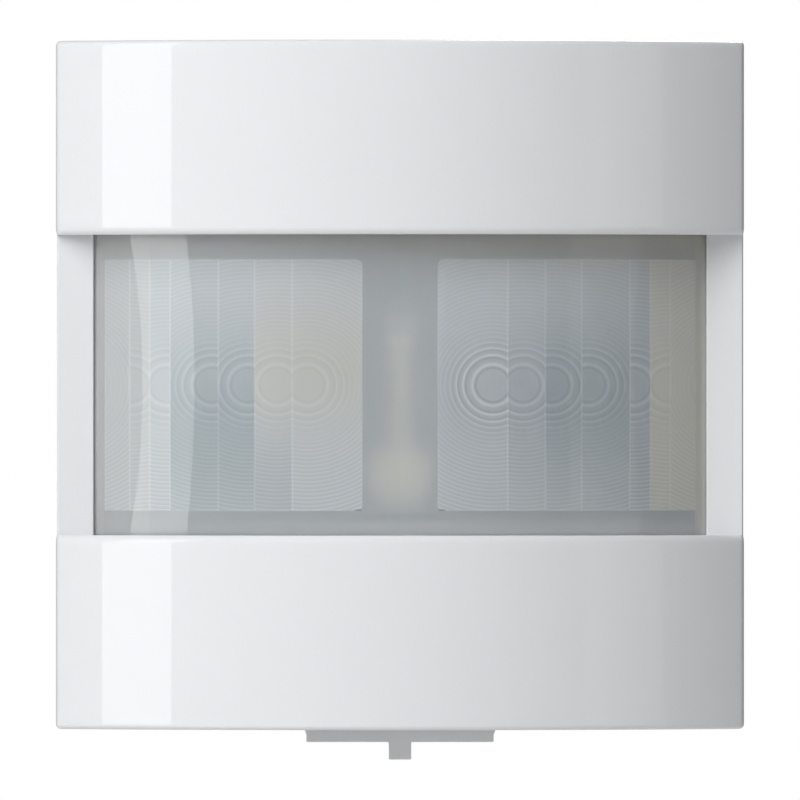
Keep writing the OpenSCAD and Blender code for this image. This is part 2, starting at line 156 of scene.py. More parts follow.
class Paint:
    # the node tree of a new material or world; node() makes any node: its type, its settings, then the
    # values or wires of its sockets
    def __init__(self, owner):
        self.owner = owner
        owner.use_nodes = True
        self.tree = owner.node_tree
        self.tree.nodes.clear()

    @staticmethod
    def add(tree, kind, settings=(), inputs=(), output=0):
        # settings come first, because some of them change which sockets there are
        node = tree.nodes.new(kind)
        for key, value in dict(settings).items():
            setattr(node, key, value)
        pairs = inputs.items() if isinstance(inputs, dict) else enumerate(inputs)
        for key, value in pairs:
            if isinstance(value, Wire):
                tree.links.new(value.socket, node.inputs[key])
            else:
                node.inputs[key].default_value = value
        return Wire(tree, node.outputs[output]) if node.outputs else None

    def node(self, kind, settings=(), inputs=(), output=0):
        return Paint.add(self.tree, kind, settings, inputs, output)

    def place(self):
        # the object's own coordinates, in millimetres
        at = self.node("ShaderNodeTexCoord", output="Object")
        return self.node("ShaderNodeVectorMath", {"operation": "SCALE"}, {0: at, "Scale": 1 / mm})

    def split(self, vector):
        # x, y and z of a vector
        return [self.node("ShaderNodeSeparateXYZ", (), {0: vector}, axis) for axis in "XYZ"]

    def noise(self, at, scale, detail=2.0):
        # 0 to 1, with scale cells per millimetre
        return self.node("ShaderNodeTexNoise", (), {"Vector": at, "Scale": scale, "Detail": detail}, "Fac")

    def blend(self, amount, first, second):
        # first * (1 - amount) + second * amount
        sockets = {0: amount, 6: rgba(first), 7: rgba(second)}
        return self.node("ShaderNodeMix", {"data_type": "RGBA"}, sockets, 2)

    def softStep(self, value, start, end):
        # 1 below start, 0 above end, a smooth curve between
        sockets = {"Value": value, "From Min": start, "From Max": end, "To Min": 1.0, "To Max": 0.0}
        return self.node("ShaderNodeMapRange", {"interpolation_type": "SMOOTHSTEP"}, sockets)

    def hill(self, value, middle, spread):
        # exp(-((value - middle) / spread)^2)
        return (((value - middle) / spread) ** 2 * -1).math("EXPONENT")

    def bump(self, height, strength, distance):
        # distance in millimetres
        sockets = {"Height": height, "Strength": strength, "Distance": distance * mm}
        return self.node("ShaderNodeBump", (), sockets, "Normal")

    def shader(self, **inputs):
        # a Principled shader; an underscore stands for a space in a socket's name
        named = {key.replace("_", " "): rgba(value) for key, value in inputs.items()}
        return self.node("ShaderNodeBsdfPrincipled", (), named)

    def finish(self, surface, kind="ShaderNodeOutputMaterial"):
        self.node(kind, (), {"Surface": surface})
        return self.owner


def rgba(value):
    # a colour of three numbers gets its fourth
    return (*value, 1.0) if isinstance(value, tuple) and len(value) == 3 else value


backdrop = {"shown": (1, 1, 1), "light": (0.97, 0.985, 1), "lightStrength": 0.12}


def buildWorld(v):
    # what the camera sees behind the object is white; what lights the object is dimmer
    p = Paint(bpy.data.worlds.new("studio"))
    light = p.node("ShaderNodeBackground", (), {"Color": rgba(v["light"]), "Strength": v["lightStrength"]})
    shown = p.node("ShaderNodeBackground", (), {"Color": rgba(v["shown"]), "Strength": 1.0})
    seen = p.node("ShaderNodeLightPath", output="Is Camera Ray")
    mixed = p.node("ShaderNodeMixShader", (), {0: seen, 1: light, 2: shown})
    bpy.context.scene.world = p.finish(mixed, "ShaderNodeOutputWorld")


buildWorld(backdrop)
print("stage: world made")


def glossyCover():
    # smooth moulded white under a clear skin, with a very slight waviness
    p = Paint(bpy.data.materials.new("cover gloss white"))
    at = p.place()
    cloud = p.noise(at, 0.12, 3.0)
    dust = p.noise(at, 5.0)
    return p.finish(p.shader(
        Base_Color=p.blend(cloud, (0.80, 0.812, 0.83), (0.815, 0.825, 0.843)), Roughness=0.34 + dust * 0.06,
        IOR=1.46, Specular_IOR_Level=0.3, Coat_Weight=1.0, Coat_Roughness=0.015, Coat_IOR=1.5,
        Normal=p.bump(p.noise(at, 0.5, 1.0), 0.05, 0.05),
    ))


def mattePlastic(name, dark, light, roughness=0.5, grain=9.0, depth=0.02, coat=0.0):
    # moulded plastic with a fine spark-eroded grain
    p = Paint(bpy.data.materials.new(name))
    at = p.place()
    fine = p.noise(at, grain, 3.0)
    cloud = p.noise(at, 0.35, 3.0)
    return p.finish(p.shader(
        Base_Color=p.blend(cloud * 0.6 + fine * 0.4, dark, light), Roughness=roughness - 0.08 + fine * 0.16,
        Coat_Weight=coat, Coat_Roughness=0.2, Normal=p.bump(fine, 0.5, depth),
    ))


def bareMetal(name, colour, roughness=0.25, streak=(1.0, 1.0, 12.0)):
    # rolled metal with fine streaks along one axis
    p = Paint(bpy.data.materials.new(name))
    at = p.node("ShaderNodeMapping", (), {"Vector": p.place(), "Scale": streak})
    fine = p.noise(at, 2.5, 4.0)
    dim = tuple(c * 0.8 for c in colour)
    return p.finish(p.shader(
        Base_Color=p.blend(fine, dim, colour), Metallic=1.0, Roughness=roughness - 0.06 + fine * 0.14,
        Normal=p.bump(fine, 0.2, 0.01),
    ))


def boardGreen():
    # solder mask; copper tracks show through it as a lighter green, upright lanes and stepped level rows
    p = Paint(bpy.data.materials.new("board green"))
    x, y, z = p.split(p.place())
    lanes = abs((x * 0.45).math("FRACT") - 0.5) < 0.12
    rows = abs((z * 0.38 + (x * 0.11).math("FLOOR") * 0.37).math("FRACT") - 0.5) < 0.1
    track = (lanes + rows).math("MINIMUM", 1.0)
    return p.finish(p.shader(
        Base_Color=p.blend(track, (0.012, 0.085, 0.035), (0.03, 0.17, 0.07)), Roughness=0.3,
        Coat_Weight=0.5, Coat_Roughness=0.1, Normal=p.bump(track, 0.4, 0.03),
    ))


finishes = {
    "frame_grey": mattePlastic("frame grey", (0.50, 0.51, 0.52), (0.56, 0.57, 0.58)),
    "channel_grey": mattePlastic("channel grey", (0.33, 0.35, 0.36), (0.37, 0.39, 0.40), 0.6),
    "guide_ivory": mattePlastic("guide ivory", (0.88, 0.85, 0.74), (0.92, 0.89, 0.79), 0.35, coat=0.5),
    "carrier_cream": mattePlastic("carrier cream", (0.74, 0.70, 0.56), (0.80, 0.76, 0.62), 0.45),
    "can_steel": bareMetal("can steel", (0.68, 0.68, 0.67), 0.45),
    "filter_dark": mattePlastic(
        "filter dark", (0.02, 0.02, 0.03), (0.035, 0.03, 0.05), 0.15, depth=0.002, coat=1.0
    ),
    "element_ceramic": mattePlastic("element ceramic", (0.72, 0.70, 0.62), (0.8, 0.78, 0.7), 0.6),
    "lead_gold": bareMetal("lead gold", (0.83, 0.66, 0.33), 0.24),
    "lamp_clear": mattePlastic(
        "lamp resin", (0.75, 0.30, 0.16), (0.85, 0.38, 0.22), 0.25, depth=0.004, coat=1.0
    ),
    "chip_black": mattePlastic("chip black", (0.018, 0.018, 0.02), (0.03, 0.03, 0.032), 0.55),
    "board_green": boardGreen(),
    "crystal_metal": bareMetal("crystal metal", (0.72, 0.73, 0.74), 0.3),
    "capacitor_blue": bareMetal("capacitor blue", (0.16, 0.22, 0.36), 0.35),
    "component_tan": mattePlastic("component tan", (0.40, 0.30, 0.20), (0.52, 0.42, 0.30)),
    "screw_steel": bareMetal("screw steel", (0.60, 0.61, 0.62), 0.3),
    "plug_black": mattePlastic("plug black", (0.02, 0.02, 0.021), (0.035, 0.035, 0.037)),
    "housing_grey": mattePlastic("housing grey", (0.30, 0.305, 0.31), (0.34, 0.345, 0.35), 0.55, 7.0, 0.03),
    "dial_blue": mattePlastic("dial blue", (0.03, 0.10, 0.36), (0.05, 0.14, 0.44), 0.4),
    "rotor_white": mattePlastic("rotor white", (0.78, 0.78, 0.75), (0.84, 0.84, 0.81), 0.4),
    "slider_grey": mattePlastic("slider grey", (0.74, 0.745, 0.76), (0.80, 0.805, 0.82), 0.6, 7.0, 0.03),
    "spring_steel": bareMetal("spring steel", (0.66, 0.66, 0.64), 0.22, (1.0, 1.0, 0.2)),
}
print("stage: finishes made:", len(finishes))


def tidyMesh(mesh, distance=2e-6):
    # merges doubles nearer than distance (mm), drops slivers and turns all faces outwards
    work = bmesh.new()
    work.from_mesh(mesh)
    bmesh.ops.remove_doubles(work, verts=work.verts, dist=distance * mm)
    bmesh.ops.dissolve_degenerate(work, edges=work.edges, dist=distance * mm)
    bmesh.ops.recalc_face_normals(work, faces=work.faces)
    work.to_mesh(mesh)
    work.free()


def makeMesh(name, points, faces, distance=2e-6):
    # a tidy mesh from points in millimetres
    mesh = bpy.data.meshes.new(name)
    mesh.from_pydata((np.asarray(points) * mm).tolist(), [], faces)
    tidyMesh(mesh, distance)
    return mesh


def addPiece(name, mesh, material, node, body):
    # a piece that stands for a frame node, rides on its body and gets its material
    piece = bpy.data.objects.new(name, mesh)
    bpy.context.collection.objects.link(piece)
    mesh.materials.clear()
    mesh.materials.append(material)
    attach(piece, body)
    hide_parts(node)
    return piece


def softShade(piece, angle):
    # smooth shading between faces that meet at less than angle, with normals weighted by face area
    mesh = piece.data
    mesh.polygons.foreach_set("use_smooth", np.ones(len(mesh.polygons), bool))
    mesh.set_sharp_from_angle(angle=math.radians(angle))
    even = piece.modifiers.new("even normals", "WEIGHTED_NORMAL")
    even.keep_sharp = True
    even.weight = 100


def gridFaces(rows, columns, start=0):
    # the quads of a grid whose points are stored row by row
    i, j = np.meshgrid(np.arange(rows - 1), np.arange(columns - 1), indexing="ij")
    a = start + i * columns + j
    return np.stack([a, a + 1, a + columns + 1, a + columns], -1).reshape(-1, 4).tolist()


def closeGrid(rows, columns):
    # the quads of such a grid, a face on its first and last row, and one that joins its two long ends
    faces = gridFaces(rows, columns)
    faces.append(list(range(columns)))
    lastRow = (rows - 1) * columns
    faces.append(list(range(lastRow, lastRow + columns)))
    faces.append(list(range(0, lastRow + 1, columns)) + list(range(lastRow + columns - 1, 0, -columns)))
    return faces


def slab(low, high):
    # the eight corners and six faces of a box
    x, y, z = np.meshgrid(*zip(low, high), indexing="ij")
    points = np.stack([x, y, z], -1).reshape(-1, 3)
    faces = [(0, 1, 3, 2), (4, 6, 7, 5), (0, 4, 5, 1), (2, 3, 7, 6), (0, 2, 6, 4), (1, 5, 7, 3)]
    return points, faces


def carve(mesh, shapes):
    # takes each shape (points, faces) off the mesh in turn and returns the new mesh
    for points, faces in shapes:
        tool = bpy.data.objects.new("tool", makeMesh("tool", points, faces))
        base = bpy.data.objects.new("base", mesh)
        for thing in (tool, base):
            bpy.context.collection.objects.link(thing)
        step = base.modifiers.new("carve", "BOOLEAN")
        step.operation, step.solver, step.object = "DIFFERENCE", "EXACT", tool
        graph = bpy.context.evaluated_depsgraph_get()
        mesh = bpy.data.meshes.new_from_object(base.evaluated_get(graph))
        bpy.data.objects.remove(base)
        bpy.data.objects.remove(tool)
    return mesh


cover = {
    "side": 8.0,             # depth of the straight side
    "corner": 0.8,           # round between side and front, seen from above
    "rim": 2.0,              # depth of the rear rim, which the window's groove leaves whole
    "edge": 0.4,             # round on the top and bottom edges
    "windowEdge": 0.8, "windowTurn": 55,     # round on the window's edges, and how far it turns
    "sideShare": 0.25,       # share of the window's round that the straight side gets
    "flat": 0.35,            # width of the plain strip beside each round
    "inset": 0.1,            # how far the cheeks stand in from the side
    "cheek": 7.1, "cheekWall": 0.5, "cheekRound": 0.1,    # their front, their wall and its edge
    "lensHalf": 24.5,        # half of the window's width
    "behindLens": 0.8, "gap": 0.06, "ledge": 1.2,         # the groove's depth, the lens's gap and seat
    "wall": 1.8,
    "slotHalf": 7.62, "slotGap": 0.12,       # the opening for the slider, and its clearance
}
bulge = -frontY - cover["side"]
frontR = (half ** 2 + bulge ** 2) / (2 * bulge)
arcY = frontY + frontR                 # the centre of the front's and the lens's arcs
lensR = arcY - lensLow[1]


def onArc(x, radius):
    # y = centre - sqrt(r^2 - x^2)
    return arcY - np.sqrt(radius ** 2 - x ** 2)


def coverOutline(v, columns=120):
    # the outline seen from above, one half and its mirror image: the straight side, the round corner, the
    # arc beside the window and the arc in front of it. For each point P it gives the outward normal N, the
    # point F where the window's groove ends, and g, the share of the window's full round.
    rho, r = v["corner"], v["cheekRound"]
    cx = half - rho
    cy = arcY - math.sqrt((frontR - rho) ** 2 - cx ** 2)
    last = math.atan2(arcY - cy, cx)                 # the arc's normal where the corner meets it
    inX = half - v["inset"]
    rimLine = np.array([(half, 0.0), (half, -v["rim"])])
    rimNormal = np.array([(1.0, 0.0)] * 2)
    down = np.linspace(-v["rim"], cy, 7)
    floorDown = np.linspace(-v["rim"], -v["cheek"] + r, 7)
    sideLine = np.column_stack([down * 0 + half, down])
    sideFloor = np.column_stack([down * 0 + inX, floorDown])
    turn = np.linspace(0, last, 9)
    cornerNormal = np.column_stack([np.cos(turn), -np.sin(turn)])
    spread = np.linspace(0, math.pi / 2, 9)
    cornerFloor = np.column_stack([inX - r + r * np.cos(spread), -v["cheek"] + r - r * np.sin(spread)])
    besideX = np.linspace(frontR * math.cos(last), v["lensHalf"], 12)
    beside = np.column_stack([besideX, onArc(besideX, frontR)])
    flat = np.linspace(inX - r, v["lensHalf"] + r, 7)
    edge = np.linspace(0, math.pi / 2, 6)[1:]
    besideFloor = np.concatenate([
        np.column_stack([flat, flat * 0 - v["cheek"]]),
        np.column_stack([v["lensHalf"] + r - r * np.sin(edge), -v["cheek"] + r - r * np.cos(edge)]),
    ])
    frontX = np.linspace(v["lensHalf"], 0, columns)
    front = np.column_stack([frontX, onArc(frontX, frontR)])
    frontFloor = np.column_stack([frontX, onArc(frontX, lensR - v["behindLens"])])
    p = np.concatenate([rimLine, sideLine, np.array([cx, cy]) + rho * cornerNormal, beside, front])
    arcNormals = [(arc - (0, arcY)) / frontR for arc in (beside, front)]
    n = np.concatenate([rimNormal, rimNormal[:1].repeat(7, 0), cornerNormal, *arcNormals])
    f = np.concatenate([rimLine, sideFloor, cornerFloor, besideFloor, frontFloor])
    low = v["sideShare"]
    g = np.concatenate([[0, 0], [low] * 7, low + (1 - low) * turn / last, np.ones(12 + columns)])
    mirrored = [np.concatenate([a, (a[::-1] * (-1, 1))[1:]]) for a in (p, n, f)]
    return mirrored + [np.concatenate([g, g[::-1][1:]])]


def coverSkin(v):
    # S(u, row) = P(u) - inset * N(u) at height z; from the top down the rows run over the top edge's round,
    # the band, the round of the window's edge and the groove, and the lower half mirrors them
    p, n, f, g = coverOutline(v)
    e, w = v["edge"], v["windowEdge"]
    quarter = np.linspace(0, math.pi / 2, 7)
    part = np.linspace(0, math.radians(v["windowTurn"]), 6)
    rise = w * math.sin(part[-1])
    everywhere = np.ones(len(p))
    levels = [(half - e + e * math.cos(a), e * (1 - math.sin(a)) * everywhere) for a in quarter]
    levels += [(z, 0 * everywhere) for z in (half - e - v["flat"], windowHalf + rise + v["flat"])]
    levels += [(windowHalf + rise - w * math.sin(a), w * (1 - math.cos(a)) * g) for a in part]
    rows = [np.column_stack([p - depth[:, None] * n, p[:, 0] * 0 + z]) for z, depth in levels]
    rows.append(np.column_stack([f, f[:, 0] * 0 + windowHalf]))
    top = np.stack(rows)
    grid = np.concatenate([top, top[::-1] * (1, 1, -1)])
    return grid.reshape(-1, 3), closeGrid(*grid.shape[:2])


def coverHollow(v, columns=160):
    # the space inside, as a stack of outlines: b follows the bands' inner wall, and a, at the window's
    # height, follows the lens and the cheeks
    inner = half - v["wall"]
    cheekBack = -v["cheek"] + v["cheekWall"]
    rear = 1.0                                        # the tool stands out at the rear
    stepX = np.linspace(inner, v["lensHalf"], 4)
    xs = np.linspace(v["lensHalf"], -v["lensHalf"], columns)[1:-1]

    def outline(stepY, radius):
        # from the right wall along the stepped line, the arc and the mirrored line to the left wall
        return np.concatenate([
            [(inner, rear)], np.column_stack([stepX, stepY]), np.column_stack([xs, onArc(xs, radius)]),
            np.column_stack([-stepX, stepY])[::-1], [(-inner, rear)],
        ])

    a = outline(stepX * 0 + cheekBack, lensR + v["gap"])
    b = outline(onArc(stepX, frontR - v["wall"]), frontR - v["wall"])
    step = windowHalf + v["ledge"]
    rings = [(b, -inner), (b, -step), (a, -step), (a, step), (b, step), (b, inner)]
    grid = np.stack([np.column_stack([ring, ring[:, 0] * 0 + z]) for ring, z in rings])
    return grid.reshape(-1, 3), closeGrid(*grid.shape[:2])


def buildCover(v):
    # the skin, less the space inside and the slider's opening in the lower wall
    low, high = boxOf("lock_slider")
    slot = slab(
        (-v["slotHalf"], low[1] - v["slotGap"], -half - 1),
        (v["slotHalf"], high[1] + v["slotGap"], -half + v["wall"] + 1),
    )
    mesh = carve(makeMesh("front_cover_shell", *coverSkin(v)), [coverHollow(v), slot])
    piece = addPiece("cover_shell", mesh, glossyCover(), "front_cover", "housing")
    softShade(piece, 32.0)
    return piece


coverPiece = buildCover(cover)
print("stage: cover built,", len(coverPiece.data.polygons), "faces")


# the ringed lens: its grooves, in geometry
facets = {
    "edges": (3.04, 8.6, 11.6, 14.5, 18.35, 20.0, 21.6, 23.6),      # of the facets, from the middle
    "centres": (7.4, 9.8, 12.1, 15.0, 18.6, 21.5, 26.5),            # of each facet's rings
    "fieldHalf": 10.0,                       # half of the facets' height
    "thick": 1.0, "columns": 181, "rows": 25, "struts": 37,         # thickness, and how fine its grid is
    "firstRing": 1.63, "zone": 2.96, "pitch": 0.32,      # r(k)^2 = firstRing^2 + zone * k, then even steps
    "depth": 0.14, "draft": 0.04,            # of a groove, and the slope of its wall
    "rib": 0.07, "round": 0.5,               # half width of the facets' frames, and the fields' corners
    "bow": 0.6, "bowFrom": 12.6,             # the lens stands forward near its sides, at mid height
    "swell": 0.03, "swellAt": 19.5, "swellHalf": 4.0,     # and has a slight upright swell there
}

# painted light and shade: how the rings are drawn in the milk's tone, each a light line with a dark one
# beside it
ringTone = {
    "field": 0.17, "border": 0.10, "line": 0.17, "mark": 0.5,       # fields, their borders, facet lines
    "valley": 0.45, "even": 0.17,            # the dark line beside each light one, and what levels the mean
    "left": 0.11, "leftMiddle": 0.05, "right": 0.065, "rightFirst": 0.085,      # strength near the centres
    "nearBase": 0.5, "nearGain": 0.85, "nearFrom": 2.4, "nearTo": 4.0,
    "far": 0.12, "farLow": 0.09, "farLowFrom": -7.0, "farLowTo": -3.0, "farRight": 0.5,
    "start": -0.35,
    "markX": 3.35, "markZ": 9.98, "markWide": 0.3, "markHigh": 0.07,      # gate mark at the inner corners
}

# painted light and shade in the milk: dark tints where the shaded inside shows through, warm ones where
# cream parts show, lighter ones towards both ends that lift the shade there: from x, to x, middle z, spread
# z, amount, colour
shades = (
    (-25.4, -20.0, 0, 30, 0.22, (0.86, 0.85, 0.78)),
    (-25.4, -23.7, 0, 40, 0.30, (0.90, 0.90, 0.86)),
    (-18.35, -11.6, -3.5, 7.5, 0.33, (0.16, 0.27, 0.29)),
    (-11.6, -8.6, -9, 6, 0.20, (0.28, 0.34, 0.38)),
    (-11.6, -3.04, 1.5, 5.5, 0.26, (0.76, 0.70, 0.50)),
    (3.04, 8.6, -1, 5, 0.14, (0.20, 0.27, 0.32)),
    (8.6, 11.6, -1, 7, 0.25, (0.20, 0.27, 0.32)),
    (11.6, 14.5, -1, 7, 0.38, (0.17, 0.27, 0.31)),
    (14.5, 18.35, -1, 8, 0.36, (0.17, 0.27, 0.31)),
    (18.35, 20.0, -1, 9, 0.18, (0.18, 0.26, 0.33)),
    (20.0, 23.6, -2, 30, 0.42, (0.93, 0.89, 0.72)),
    (23.6, 25.4, -2, 24, 0.78, (0.86, 0.85, 0.74)),
)

# painted light along the upper and lower borders, which lifts the shade at the window's edges, and a warm
# tint
# at the top right: middle z, spread, amount, its gain per mm of x, colour
borders = (
    (12.2, 1.7, 0.50, -0.013, (0.92, 0.92, 0.90)),
    (12.4, 2.4, 0.24, 0.016, (0.69, 0.65, 0.54)),
    (-12.2, 1.4, 0.34, 0.020, (0.90, 0.92, 0.93)),
)

# painted light: the lens's ends are whiter and less clear where they run under the cheeks, which lifts the
# cheeks' shadow and hides the dark inside there
lensEnd = {"from": 24.0, "to": 24.5, "amount": 0.4, "milk": 0.12, "colour": (0.98, 0.98, 0.96)}

# painted glow: a lighter shape in the middle strip where the light guide behind shows through: a round bulb
# low down, a stem and a bar on top
glow = {
    "colour": (0.96, 0.93, 0.78), "amount": 0.28, "soft": 1.9,
    "bulbZ": -6.9, "bulbR": 2.1, "stem": 0.5, "stemShare": 0.6, "stemFrom": 4.0, "stemTo": 6.5,
    "barZ": 3.4, "barWide": 1.7, "barShare": 0.7, "barFrom": 0.2, "barTo": 1.1, "topSoft": 1.2,
}

milk = {
    "colour": (0.60, 0.635, 0.66), "share": 0.62, "fieldShare": 0.06, "sheet": 0.4,
    "clear": (0.95, 0.96, 0.96), "clearRoughness": 0.34, "frontRoughness": 0.3,
    "skin": 0.6, "borderSkin": 0.4, "radius": [1.0, 1.0, 0.95], "scale": 1.1,
}


def ringWave(p, v, t, x, z):
    # rings of each facet, drawn in painted light and shade: the phase grows with r^2 near the centre and
    # with r further out; each ring is a painted light line with a painted dark line beside it, ((cos + 1) /
    # 2)^3 each
    side = abs(x)
    centre = v["centres"][0]
    for edge, a, b in zip(v["edges"][1:-1], v["centres"], v["centres"][1:]):
        centre = (side > edge) * (b - a) + centre
    away = ((side - centre) ** 2 + z ** 2) ** 0.5
    wide = (away ** 2 - v["firstRing"] ** 2) / v["zone"]
    turn = v["zone"] / (2 * v["pitch"])          # from this radius on the rings have an even pitch
    even = (away - turn) / v["pitch"] + (turn ** 2 - v["firstRing"] ** 2) / v["zone"]
    far = away > turn
    phase = wide * (1 - far) + even * far
    crest = (phase * (2 * math.pi)).math("COSINE") * 0.5 + 0.5
    valley = ((phase + 0.25) * (2 * math.pi)).math("COSINE") * 0.5 + 0.5
    wave = crest ** 3 - t["valley"] * valley ** 3 - t["even"]
    right = x > 0
    middle = (side > v["edges"][2]) * (side < v["edges"][4])
    near = right * ((side < v["edges"][1]) * t["rightFirst"] + t["right"])
    near = near + (1 - right) * middle * t["leftMiddle"] + t["left"]
    near = near * (p.softStep(away, t["nearFrom"], t["nearTo"]) * t["nearGain"] + t["nearBase"])
    low = p.softStep(z, t["farLowFrom"], t["farLowTo"]) * t["farLow"] + t["far"]
    outer = right * (side > v["edges"][4]) * t["farRight"] + 1
    return (phase > t["start"]) * (near * (1 - far) + low * outer * far) * wave


def facetLines(v, t, x, z):
    # the fields with round corners towards the middle, their borders, the lines between facets, a gate mark
    side = abs(x)
    cornerX = (v["edges"][0] + v["round"] - side).math("MAXIMUM", 0.0)
    cornerZ = (abs(z) - v["fieldHalf"] + v["round"]).math("MAXIMUM", 0.0)
    corner = (cornerX ** 2 + cornerZ ** 2) ** 0.5
    inside = side < v["edges"][-1]
    inField = (corner < v["round"]) * inside
    lines = sum((abs(side - edge) < v["rib"]) for edge in v["edges"][1:-1])
    end = (abs(side - v["edges"][-1]) < v["rib"]) * (abs(z) < v["fieldHalf"])
    border = (abs(corner - v["round"]) < v["rib"]) * inside + end
    markX, markZ = (side - t["markX"]) / t["markWide"], (z + t["markZ"]) / t["markHigh"]
    mark = (markX ** 2 + markZ ** 2) ** 0.5 < 1
    return inField, border, lines, mark


def guideGlow(p, g, x, z, withinX):
    # painted glow of the light guide: the larger of the bulb, the stem and the bar, each with a soft edge
    soft = g["soft"]
    bulb = p.softStep((x ** 2 + (z - g["bulbZ"]) ** 2) ** 0.5, g["bulbR"] - soft, g["bulbR"] + soft)
    stem = p.softStep(abs(x), g["stem"] - soft * 0.5, g["stem"] + soft) * g["stemShare"]
    length = p.softStep(z, g["barZ"] - g["topSoft"], g["barZ"] + soft)
    length = length * p.softStep(z * -1, g["stemFrom"], g["stemTo"])
    barAway = ((x / g["barWide"]) ** 2 + (z - g["barZ"]) ** 2) ** 0.5
    bar = p.softStep(barAway, g["barFrom"], g["barTo"]) * g["barShare"]
    return bulb.math("MAXIMUM", stem * length).math("MAXIMUM", bar) * (abs(x) < withinX) * g["amount"]


def milkyLens():
    # a milky front sheet that scatters light, mixed with clear; the grooves behind it show as fine lines of
    # painted light and shade in its tone, the parts behind it as soft painted tints, with painted light on
    # its borders and ends
    v, m = facets, milk
    p = Paint(bpy.data.materials.new("lens milky"))
    x, y, z = p.split(p.place())
    inField, border, lines, mark = facetLines(v, ringTone, x, z)
    # painted light and shade: the rings as light lines with dark ones beside them; fields, borders and
    # facet lines drawn lighter
    marks = ringWave(p, v, ringTone, x, z) + ringTone["line"] * lines + ringTone["field"]
    tone = 1 + inField * marks + border * ringTone["border"] - mark * ringTone["mark"]
    colour = p.node("ShaderNodeVectorMath", {"operation": "SCALE"}, {0: m["colour"], "Scale": tone})
    # painted light and shade: tints of the shaded inside seen through the milk, and lighter patches that
    # lift shade at the ends
    for low, high, middle, spread, amount, shade in shades:
        fade = p.hill(z, middle, spread) * amount
        if abs(low) in v["edges"] and abs(high) in v["edges"]:
            fade = fade * inField
        colour = p.blend((x > low) * (x < high) * fade, colour, shade)
    # painted light along the upper and lower borders, and a warm tint at the top right
    for middle, spread, amount, gain, shade in borders:
        colour = p.blend(p.hill(z, middle, spread) * (amount + x * gain), colour, shade)
    # painted light: whiter ends beside the cheeks, also less clear through the milk share below
    atEnd = p.softStep(abs(x) * -1, -lensEnd["to"], -lensEnd["from"])
    colour = p.blend(atEnd * lensEnd["amount"], colour, lensEnd["colour"])
    # painted glow where the light guide shows through
    colour = p.blend(guideGlow(p, glow, x, z, v["edges"][0]), colour, glow["colour"])
    front = (x ** 2 + (y - arcY) ** 2) ** 0.5 > lensR - m["sheet"]          # the front sheet of the lens
    clear = p.shader(
        Base_Color=m["clear"], Roughness=m["clearRoughness"] + front * m["frontRoughness"],
        Transmission_Weight=1.0, IOR=1.4, Coat_Weight=1.0, Coat_Roughness=0.02, Coat_IOR=1.5,
    )
    skin = (x < 0) * (1 - inField) * m["borderSkin"] + m["skin"]
    milky = p.shader(
        Base_Color=colour, Roughness=0.4, Specular_IOR_Level=0.2, Subsurface_Weight=1.0,
        Subsurface_Radius=m["radius"], Subsurface_Scale=m["scale"] * mm,
        Coat_Weight=skin, Coat_Roughness=0.02, Coat_IOR=1.7,
    )
    share = front * (inField * m["fieldShare"] + atEnd * lensEnd["milk"] + m["share"])
    return p.finish(p.node("ShaderNodeMixShader", (), {0: share, 1: clear, 2: milky}))


def ringRadii(v, reach):
    # r(k + 1) = sqrt(r(k)^2 + zone), or r(k) + pitch where that is more, until past reach
    radii = [v["firstRing"]]
    while radii[-1] < reach:
        radii.append(max(math.sqrt(radii[-1] ** 2 + v["zone"]), radii[-1] + v["pitch"]))
    return radii


def ringArcs(centre, radius, low, high, top, step=0.34):
    # the stretches of one ring that lie inside a facet's rectangle, as lists of points about step apart
    cuts = [0.0, 2 * math.pi]
    for edge in (low, high):
        c = (edge - centre) / radius
        if abs(c) < 1:
            cuts += [math.acos(c), 2 * math.pi - math.acos(c)]
    s = top / radius
    if s < 1:
        a = math.asin(s)
        cuts += [a, math.pi - a, math.pi + a, 2 * math.pi - a]
    cuts.sort()
    arcs = []
    for a, b in zip(cuts, cuts[1:]):
        mid = (a + b) / 2
        x, z = centre + radius * math.cos(mid), radius * math.sin(mid)
        if b - a < 1e-6 or not (low < x < high and abs(z) < top):
            continue
        t = np.linspace(a, b, max(3, int(radius * (b - a) / step), int((b - a) * 6)) + 1)
        onX = np.clip(centre + radius * np.cos(t), low, high)
        arcs.append(np.column_stack([onX, np.clip(radius * np.sin(t), -top, top)]))
    return arcs


def lensLines(v, columns, rowsZ):
    # every line drawn on the lens's back, as (points in x and z, depth): its outline, some struts over the
    # plain parts, and for each facet its frame, the floor of each groove and the top of its sloping wall
    endX, endZ = columns[-1], rowsZ[-1]
    lines = [(np.column_stack([columns, columns * 0 + z]), 0.0) for z in (-endZ, endZ)]
    lines += [(np.column_stack([rowsZ * 0 + x, rowsZ]), 0.0) for x in (-endX, endX)]
    for x in np.linspace(-endX, endX, v["struts"])[1:-1]:
        for side in (-1, 1):
            lines.append((np.array([(x, side * (v["fieldHalf"] + 0.5)), (x, side * (endZ - 0.3))]), 0.0))
    for x in np.linspace(-2.4, 2.4, 5):
        lines.append((np.array([(x, -9.8), (x, 9.8)]), 0.0))
    for side in (-1, 1):
        for low, high, centre in zip(v["edges"], v["edges"][1:], v["centres"]):
            a, b, h = low + v["rib"], high - v["rib"], v["fieldHalf"] - v["rib"]
            zs = np.linspace(-h, h, 41)
            xs = np.linspace(a, b, max(2, int((b - a) / 0.5)) + 1)
            lines += [(np.column_stack([zs * 0 + side * x, zs]), 0.0) for x in (a, b)]
            lines += [(np.column_stack([side * xs, xs * 0 + z]), 0.0) for z in (-h, h)]
            a, b, h = a + v["draft"], b - v["draft"], h - v["draft"]
            reach = math.hypot(max(abs(a - centre), abs(b - centre)), h)
            for radius in ringRadii(v, reach):
                for depth, r in ((v["depth"], radius), (0.0, radius + v["draft"])):
                    lines += [(arc * (side, 1), depth) for arc in ringArcs(centre, r, a, b, h)]
    return lines


